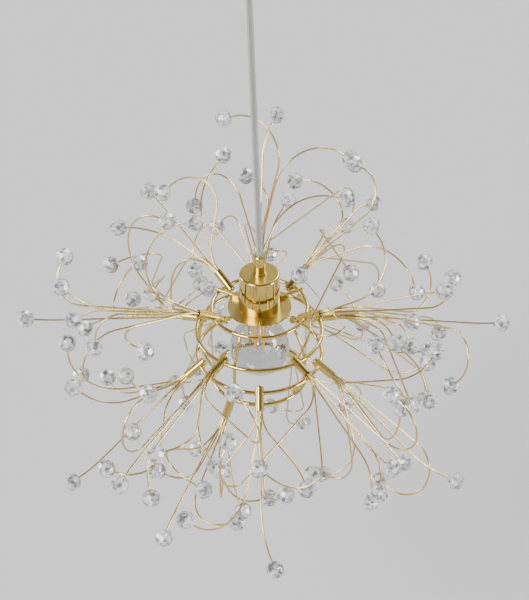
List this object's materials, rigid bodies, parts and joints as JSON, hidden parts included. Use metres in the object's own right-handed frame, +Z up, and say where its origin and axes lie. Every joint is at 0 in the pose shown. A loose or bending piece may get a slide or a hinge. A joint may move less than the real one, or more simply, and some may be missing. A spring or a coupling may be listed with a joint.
{
  "type": "spray pendant lamp",
  "caption": "Hanging spray lamp: a brass ring cage under a lamp cup carries sprays of bent wires with faceted clear beads around a clear filament lamp, on a cord from a canopy.",
  "frame": {"origin": "middle of the ceiling bar's upper face, where it meets the ceiling", "axes": "+Z up into the ceiling, +X along the ceiling bar, -Y towards the viewer of the picture"},
  "size_m": [0.4928, 0.4335, 0.6675],
  "materials": {
    "polished_brass": "polished and lacquered",
    "satin_brass": "satin",
    "wire_gold": "bright pale gold wire",
    "bare_brass": "bare rolled sheet",
    "clear_acrylic": "faceted and polished, clear",
    "clear_cord": "clear sheath over two cores",
    "clear_glass": "clear blown glass",
    "filament_glow": "coated filament",
    "lead_metal": "drawn wire",
    "nickel_cap": "rolled sheet",
    "solder_tip": "tinned",
    "white_ceramic": "unglazed",
    "black_plastic": "moulded",
    "white_plastic": "moulded",
    "zinc_steel": "zinc plated"
  },
  "bodies": {
    "hanging_frame": {"ceiling_bar": "zinc_steel", "canopy": "satin_brass", "canopy_screws": "polished_brass", "canopy_bush": "polished_brass", "canopy_nut": "zinc_steel", "terminal_block": "white_plastic", "pendant_cord": "clear_cord", "gland_body": "polished_brass", "lamp_cup": "polished_brass", "cup_flange": "polished_brass", "holder_body": "white_ceramic", "ring_nut": "black_plastic", "screw_shell": "bare_brass", "centre_contact": "bare_brass", "shoulder_ring": "polished_brass", "upper_ring": "polished_brass", "lower_ring": "polished_brass", "base_ring": "polished_brass", "cage_ribs": "polished_brass", "cage_spokes": "polished_brass", "shoulder_tubes": "polished_brass", "shoulder_beads": "clear_acrylic", "shoulder_spray_1": "wire_gold", "shoulder_spray_2": "wire_gold", "shoulder_spray_3": "wire_gold", "shoulder_spray_4": "wire_gold", "shoulder_spray_5": "wire_gold", "upper_tubes": "polished_brass", "upper_beads": "clear_acrylic", "upper_spray_1": "wire_gold", "upper_spray_2": "wire_gold", "upper_spray_3": "wire_gold", "upper_spray_4": "wire_gold", "upper_spray_5": "wire_gold", "lower_tubes": "polished_brass", "lower_beads": "clear_acrylic", "lower_spray_1": "wire_gold", "lower_spray_2": "wire_gold", "lower_spray_3": "wire_gold", "lower_spray_4": "wire_gold", "lower_spray_5": "wire_gold", "base_tubes": "polished_brass", "base_beads": "clear_acrylic", "base_spray_1": "wire_gold", "base_spray_2": "wire_gold"},
    "gland_nut": {"gland_nut": "polished_brass"},
    "bulb_tip": {"bulb_tip": "solder_tip"},
    "bulb": {"bulb_glass": "clear_glass", "bulb_cap": "nickel_cap", "bulb_stem": "clear_glass", "bulb_filaments": "filament_glow", "bulb_leads": "lead_metal"}
  },
  "joints": [
    {"name": "gland_nut_turn", "type": "hinge", "parent": "hanging_frame", "child": "gland_nut", "pos_m": [0.01, 0, -0.3625], "axis": [0, 0, 1], "range_deg": [0, 720]},
    {"name": "bulb_drop", "type": "slide", "parent": "hanging_frame", "child": "bulb_tip", "axis": [0, 0, -1], "range_m": [0, 0.01815]},
    {"name": "bulb_turn", "type": "hinge", "parent": "bulb_tip", "child": "bulb", "pos_m": [0.01, 0, -0.4083], "axis": [0, 0, -1], "range_deg": [0, 1800]}
  ],
  "couplings": [
    {"joint": "bulb_turn", "follows": "bulb_drop", "rad_per_m": 1730.9}
  ]
}
